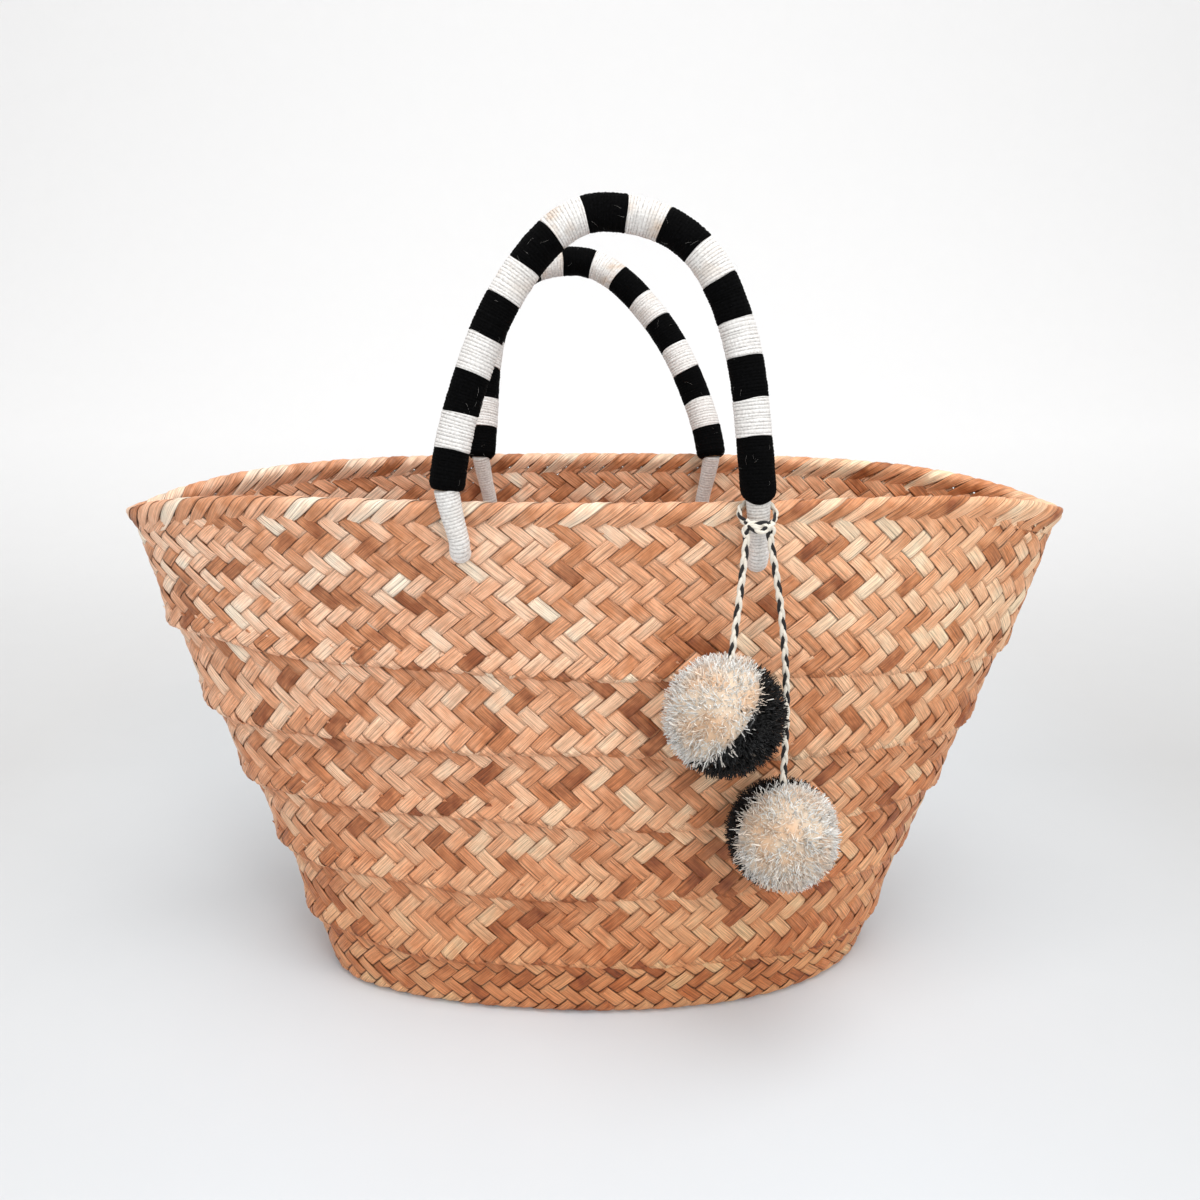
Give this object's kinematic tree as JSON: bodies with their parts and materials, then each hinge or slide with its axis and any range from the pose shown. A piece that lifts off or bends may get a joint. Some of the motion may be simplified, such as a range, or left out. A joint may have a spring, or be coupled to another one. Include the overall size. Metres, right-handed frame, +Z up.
{
  "type": "woven market basket",
  "caption": "Plaited straw tote basket with an oval base, a wide mouth, yarn-wrapped rope handles and a pompom charm.",
  "frame": {"origin": "centre of the base's underside, on the floor", "axes": "+Z up; +X along the basket's length; -Y towards the front, the side the charm hangs on"},
  "size_m": [0.5314, 0.2481, 0.4373],
  "materials": {
    "plaited_straw": "plaited flat seagrass-like straw strips, warm tan to orange brown, fine lengthwise fibres, slight satin sheen",
    "white_yarn": "off-white cotton yarn wound side by side, matt, slightly fuzzy",
    "black_yarn": "black yarn wound tightly, velvety and matt with stray pale fibres",
    "rope": "rough jute rope, hidden under the yarn",
    "braided_cord": "cord braided from off-white strands and one black strand",
    "natural_raffia": "cream raffia blades, dense and trimmed to a ball, with peach tints",
    "black_raffia": "black raffia blades, dense and trimmed to a ball, soft sheen"
  },
  "bodies": {
    "basket": {"basket_wall": "plaited_straw", "basket_base": "plaited_straw", "rim_braid": "plaited_straw", "front_left_foot": "white_yarn", "front_right_foot": "white_yarn", "back_left_foot": "white_yarn", "back_right_foot": "white_yarn", "charm_hitch_loop": "braided_cord"},
    "front_handle": {"front_handle_rope_core": "rope", "front_handle_black_band_01": "black_yarn", "front_handle_white_band_02": "white_yarn", "front_handle_black_band_03": "black_yarn", "front_handle_white_band_04": "white_yarn", "front_handle_black_band_05": "black_yarn", "front_handle_white_band_06": "white_yarn", "front_handle_black_band_07": "black_yarn", "front_handle_white_band_08": "white_yarn", "front_handle_black_band_09": "black_yarn", "front_handle_white_band_10": "white_yarn", "front_handle_black_band_11": "black_yarn", "front_handle_white_band_12": "white_yarn", "front_handle_black_band_13": "black_yarn", "front_handle_white_band_14": "white_yarn", "front_handle_black_band_15": "black_yarn", "front_handle_white_band_16": "white_yarn", "front_handle_black_band_17": "black_yarn"},
    "back_handle": {"back_handle_rope_core": "rope", "back_handle_black_band_01": "black_yarn", "back_handle_white_band_02": "white_yarn", "back_handle_black_band_03": "black_yarn", "back_handle_white_band_04": "white_yarn", "back_handle_black_band_05": "black_yarn", "back_handle_white_band_06": "white_yarn", "back_handle_black_band_07": "black_yarn", "back_handle_white_band_08": "white_yarn", "back_handle_black_band_09": "black_yarn", "back_handle_white_band_10": "white_yarn", "back_handle_black_band_11": "black_yarn", "back_handle_white_band_12": "white_yarn", "back_handle_black_band_13": "black_yarn", "back_handle_white_band_14": "white_yarn", "back_handle_black_band_15": "black_yarn", "back_handle_white_band_16": "white_yarn", "back_handle_black_band_17": "black_yarn"},
    "charm": {"charm_knot": "braided_cord"},
    "short_strand": {"short_cord": "braided_cord"},
    "short_pompom": {"short_pompom_natural_half": "natural_raffia", "short_pompom_black_half": "black_raffia", "short_pompom_tie": "black_yarn"},
    "long_strand": {"long_cord": "braided_cord"},
    "long_pompom": {"long_pompom_natural_half": "natural_raffia", "long_pompom_black_half": "black_raffia", "long_pompom_tie": "black_yarn"}
  },
  "joints": [
    {"name": "front_handle_fold", "type": "hinge", "parent": "basket", "child": "front_handle", "pos_m": [0.0035, -0.0872, 0.2955], "axis": [1, 0, 0], "range_deg": [-18, 70]},
    {"name": "back_handle_fold", "type": "hinge", "parent": "basket", "child": "back_handle", "pos_m": [0.0007, 0.06, 0.289], "axis": [1, 0, 0], "range_deg": [-17, 60]},
    {"name": "charm_lift", "type": "hinge", "parent": "basket", "child": "charm", "pos_m": [0.0778, -0.0998, 0.2855], "axis": [-1, 0, 0], "range_deg": [0, 75]},
    {"name": "short_cord_sway", "type": "hinge", "parent": "charm", "child": "short_strand", "pos_m": [0.0723, -0.0998, 0.2855], "axis": [0, 1, 0], "range_deg": [0, 16]},
    {"name": "long_cord_sway", "type": "hinge", "parent": "charm", "child": "long_strand", "pos_m": [0.0833, -0.0998, 0.2855], "axis": [0, -1, 0], "range_deg": [0, 25]},
    {"name": "short_pompom_spin", "type": "hinge", "parent": "short_strand", "child": "short_pompom", "pos_m": [0.0633, -0.1105, 0.1936], "axis": [0, 0, 1], "range_deg": [-180, 180]},
    {"name": "long_pompom_spin", "type": "hinge", "parent": "long_strand", "child": "long_pompom", "pos_m": [0.0963, -0.104, 0.1255], "axis": [0, 0, 1], "range_deg": [-180, 180]}
  ]
}
